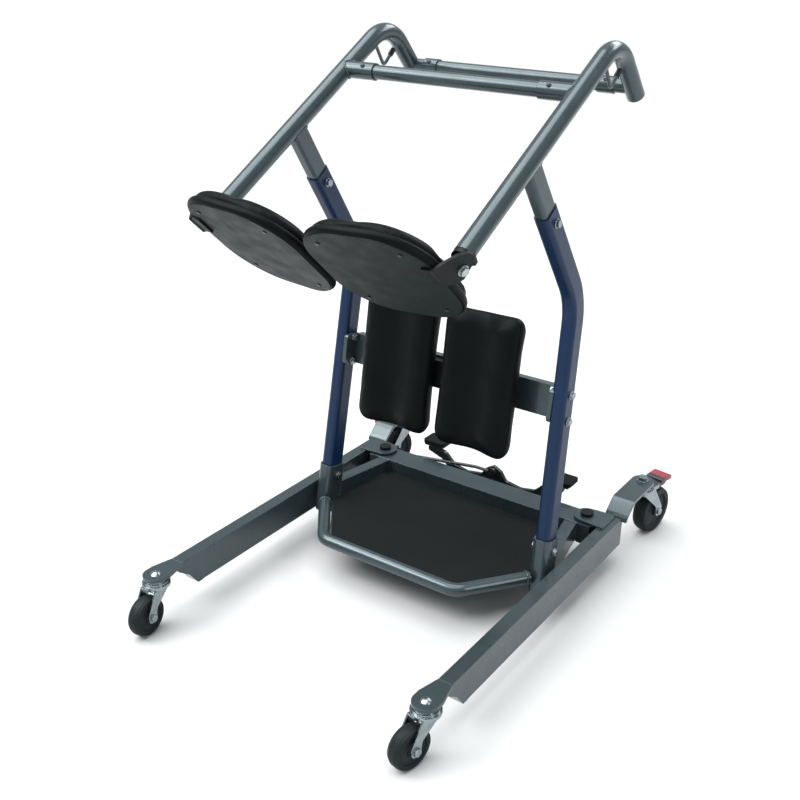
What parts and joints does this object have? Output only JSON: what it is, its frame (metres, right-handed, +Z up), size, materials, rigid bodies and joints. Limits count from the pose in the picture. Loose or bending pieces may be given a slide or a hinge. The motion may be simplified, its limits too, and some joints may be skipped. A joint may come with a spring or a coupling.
{
  "type": "standing transfer aid",
  "caption": "Wheeled stand-and-turn patient lift with spreading legs, footplate, knee pads, swinging seat pads and a handlebar.",
  "frame": {"origin": "on the floor under the middle of the outline", "axes": "+X to the right of a person who faces the handlebar, -Y the open front between the legs, +Y the handlebar and pedal side, +Z up"},
  "size_m": [0.6616, 0.9643, 1.0072],
  "materials": {
    "frame_grey": "satin metallic blue-grey powder coat",
    "mast_blue": "semi-gloss navy blue powder coat",
    "cushion_black": "smooth black vinyl",
    "board_black": "moulded black board",
    "bracket_black": "black powder coat",
    "mat_rubber": "matt black rubber mat",
    "deck_steel": "satin grey powder coat",
    "zinc": "zinc plated steel",
    "tyre_grey": "dark grey tread",
    "brake_red": "red plastic pedal on steel lever",
    "pedal_rubber": "black ribbed rubber",
    "pedal_steel": "dark grey coated steel",
    "cap_plastic": "black plastic cap over steel pin",
    "hook_steel": "coated rod with black tip"
  },
  "bodies": {
    "frame": {"cross_beam": "frame_grey", "crossbar_front": "frame_grey", "crossbar_rear": "frame_grey", "crossbar_sleeves": "frame_grey", "deck_mat": "mat_rubber", "deck_plate": "deck_steel", "handle_tube_left": "frame_grey", "handle_tube_right": "frame_grey", "knee_bar": "frame_grey", "knee_bolts": "zinc", "knee_bracket_left": "frame_grey", "knee_bracket_right": "frame_grey", "knee_pad_left": "cushion_black", "knee_pad_right": "cushion_black", "knee_saddle": "bracket_black", "mast_bolts": "zinc", "mast_left": "mast_blue", "mast_right": "mast_blue", "mast_socket_left": "frame_grey", "mast_socket_right": "frame_grey", "pedal_bracket": "frame_grey", "pivot_pins": "cap_plastic", "seat_pivot_bolts": "zinc", "side_rail_left": "frame_grey", "side_rail_right": "frame_grey", "sling_hooks": "hook_steel", "socket_bolts": "zinc", "stub_left": "frame_grey", "stub_right": "frame_grey", "tray_tube": "frame_grey"},
    "leg_right": {"leg_tube_right": "frame_grey", "leg_nose_right": "frame_grey", "rear_arm_right": "frame_grey", "leg_fasteners_right": "zinc"},
    "seat_right": {"seat_arm_right": "bracket_black", "seat_board_right": "board_black", "seat_cushion_right": "cushion_black", "seat_screws_right": "zinc"},
    "tie_rod_right": {"tie_rod_right": "pedal_steel"},
    "brake_right": {"brake_pedal_right": "brake_red"},
    "caster_front_right": {"caster_fork_front_right": "zinc"},
    "wheel_front_right": {"caster_wheel_front_right": "tyre_grey"},
    "caster_rear_right": {"caster_fork_rear_right": "zinc"},
    "wheel_rear_right": {"caster_wheel_rear_right": "tyre_grey"},
    "leg_left": {"leg_tube_left": "frame_grey", "leg_nose_left": "frame_grey", "rear_arm_left": "frame_grey", "leg_fasteners_left": "zinc"},
    "seat_left": {"seat_arm_left": "bracket_black", "seat_board_left": "board_black", "seat_cushion_left": "cushion_black", "seat_screws_left": "zinc"},
    "tie_rod_left": {"tie_rod_left": "pedal_steel"},
    "brake_left": {"brake_pedal_left": "brake_red"},
    "caster_front_left": {"caster_fork_front_left": "zinc"},
    "wheel_front_left": {"caster_wheel_front_left": "tyre_grey"},
    "caster_rear_left": {"caster_fork_rear_left": "zinc"},
    "wheel_rear_left": {"caster_wheel_rear_left": "tyre_grey"},
    "pedal": {"pedal_rocker": "pedal_steel", "pedal_pads": "pedal_rubber"}
  },
  "joints": [
    {"name": "leg_right_spread", "type": "hinge", "parent": "frame", "child": "leg_right", "pos_m": [0.246, 0.224, 0.084], "axis": [0, 0, 1], "range_deg": [0, 10]},
    {"name": "leg_left_spread", "type": "hinge", "parent": "frame", "child": "leg_left", "pos_m": [-0.246, 0.224, 0.084], "axis": [0, 0, 1], "range_deg": [-10, 0]},
    {"name": "pedal_rock", "type": "hinge", "parent": "frame", "child": "pedal", "pos_m": [0, 0.28, 0.084], "axis": [0, 1, 0], "range_deg": [0, 19.7]},
    {"name": "tie_rod_right_pin", "type": "hinge", "parent": "pedal", "child": "tie_rod_right", "pos_m": [0, 0.2705, 0.06], "axis": [0, 1, 0], "range_deg": [-19.7, 0]},
    {"name": "tie_rod_left_pin", "type": "hinge", "parent": "pedal", "child": "tie_rod_left", "pos_m": [0, 0.2705, 0.108], "axis": [0, 1, 0], "range_deg": [-19.7, 0]},
    {"name": "seat_right_swing", "type": "hinge", "parent": "frame", "child": "seat_right", "pos_m": [0.231, -0.252, 0.7542], "axis": [0, 0.8738, 0.4863], "range_deg": [0, 95]},
    {"name": "seat_left_swing", "type": "hinge", "parent": "frame", "child": "seat_left", "pos_m": [-0.231, -0.252, 0.7542], "axis": [0, -0.8738, -0.4863], "range_deg": [0, 95]},
    {"name": "caster_front_right_swivel", "type": "hinge", "parent": "leg_right", "child": "caster_front_right", "pos_m": [0.293, -0.417, 0.09], "axis": [0, 0, 1], "continuous": true},
    {"name": "wheel_front_right_spin", "type": "hinge", "parent": "caster_front_right", "child": "wheel_front_right", "pos_m": [0.28535, -0.45013, 0.0375], "axis": [0.9744, -0.225, 0], "continuous": true},
    {"name": "caster_rear_right_swivel", "type": "hinge", "parent": "leg_right", "child": "caster_rear_right", "pos_m": [0.293, 0.38, 0.09], "axis": [0, 0, 1], "continuous": true},
    {"name": "wheel_rear_right_spin", "type": "hinge", "parent": "caster_rear_right", "child": "wheel_rear_right", "pos_m": [0.3002, 0.42543, 0.05], "axis": [0.9877, -0.1564, 0], "continuous": true},
    {"name": "brake_right_press", "type": "hinge", "parent": "caster_rear_right", "child": "brake_right", "pos_m": [0.29801, 0.41161, 0.112], "axis": [-0.9877, 0.1564, 0], "range_deg": [0, 10]},
    {"name": "caster_front_left_swivel", "type": "hinge", "parent": "leg_left", "child": "caster_front_left", "pos_m": [-0.293, -0.417, 0.09], "axis": [0, 0, 1], "continuous": true},
    {"name": "wheel_front_left_spin", "type": "hinge", "parent": "caster_front_left", "child": "wheel_front_left", "pos_m": [-0.28945, -0.45081, 0.0375], "axis": [0.9945, 0.1045, 0], "continuous": true},
    {"name": "caster_rear_left_swivel", "type": "hinge", "parent": "leg_left", "child": "caster_rear_left", "pos_m": [-0.293, 0.38, 0.09], "axis": [0, 0, 1], "continuous": true},
    {"name": "wheel_rear_left_spin", "type": "hinge", "parent": "caster_rear_left", "child": "wheel_rear_left", "pos_m": [-0.30722, 0.33625, 0.05], "axis": [-0.9511, 0.309, 0], "continuous": true},
    {"name": "brake_left_press", "type": "hinge", "parent": "caster_rear_left", "child": "brake_left", "pos_m": [-0.30289, 0.34957, 0.112], "axis": [0.9511, -0.309, 0], "range_deg": [0, 10]}
  ],
  "couplings": [
    {"joint": "leg_left_spread", "follows": "leg_right_spread", "ratio": -1},
    {"joint": "pedal_rock", "follows": "leg_right_spread", "ratio": 1.966},
    {"joint": "tie_rod_right_pin", "follows": "leg_right_spread", "ratio": -1.966},
    {"joint": "tie_rod_left_pin", "follows": "leg_right_spread", "ratio": -1.966}
  ]
}
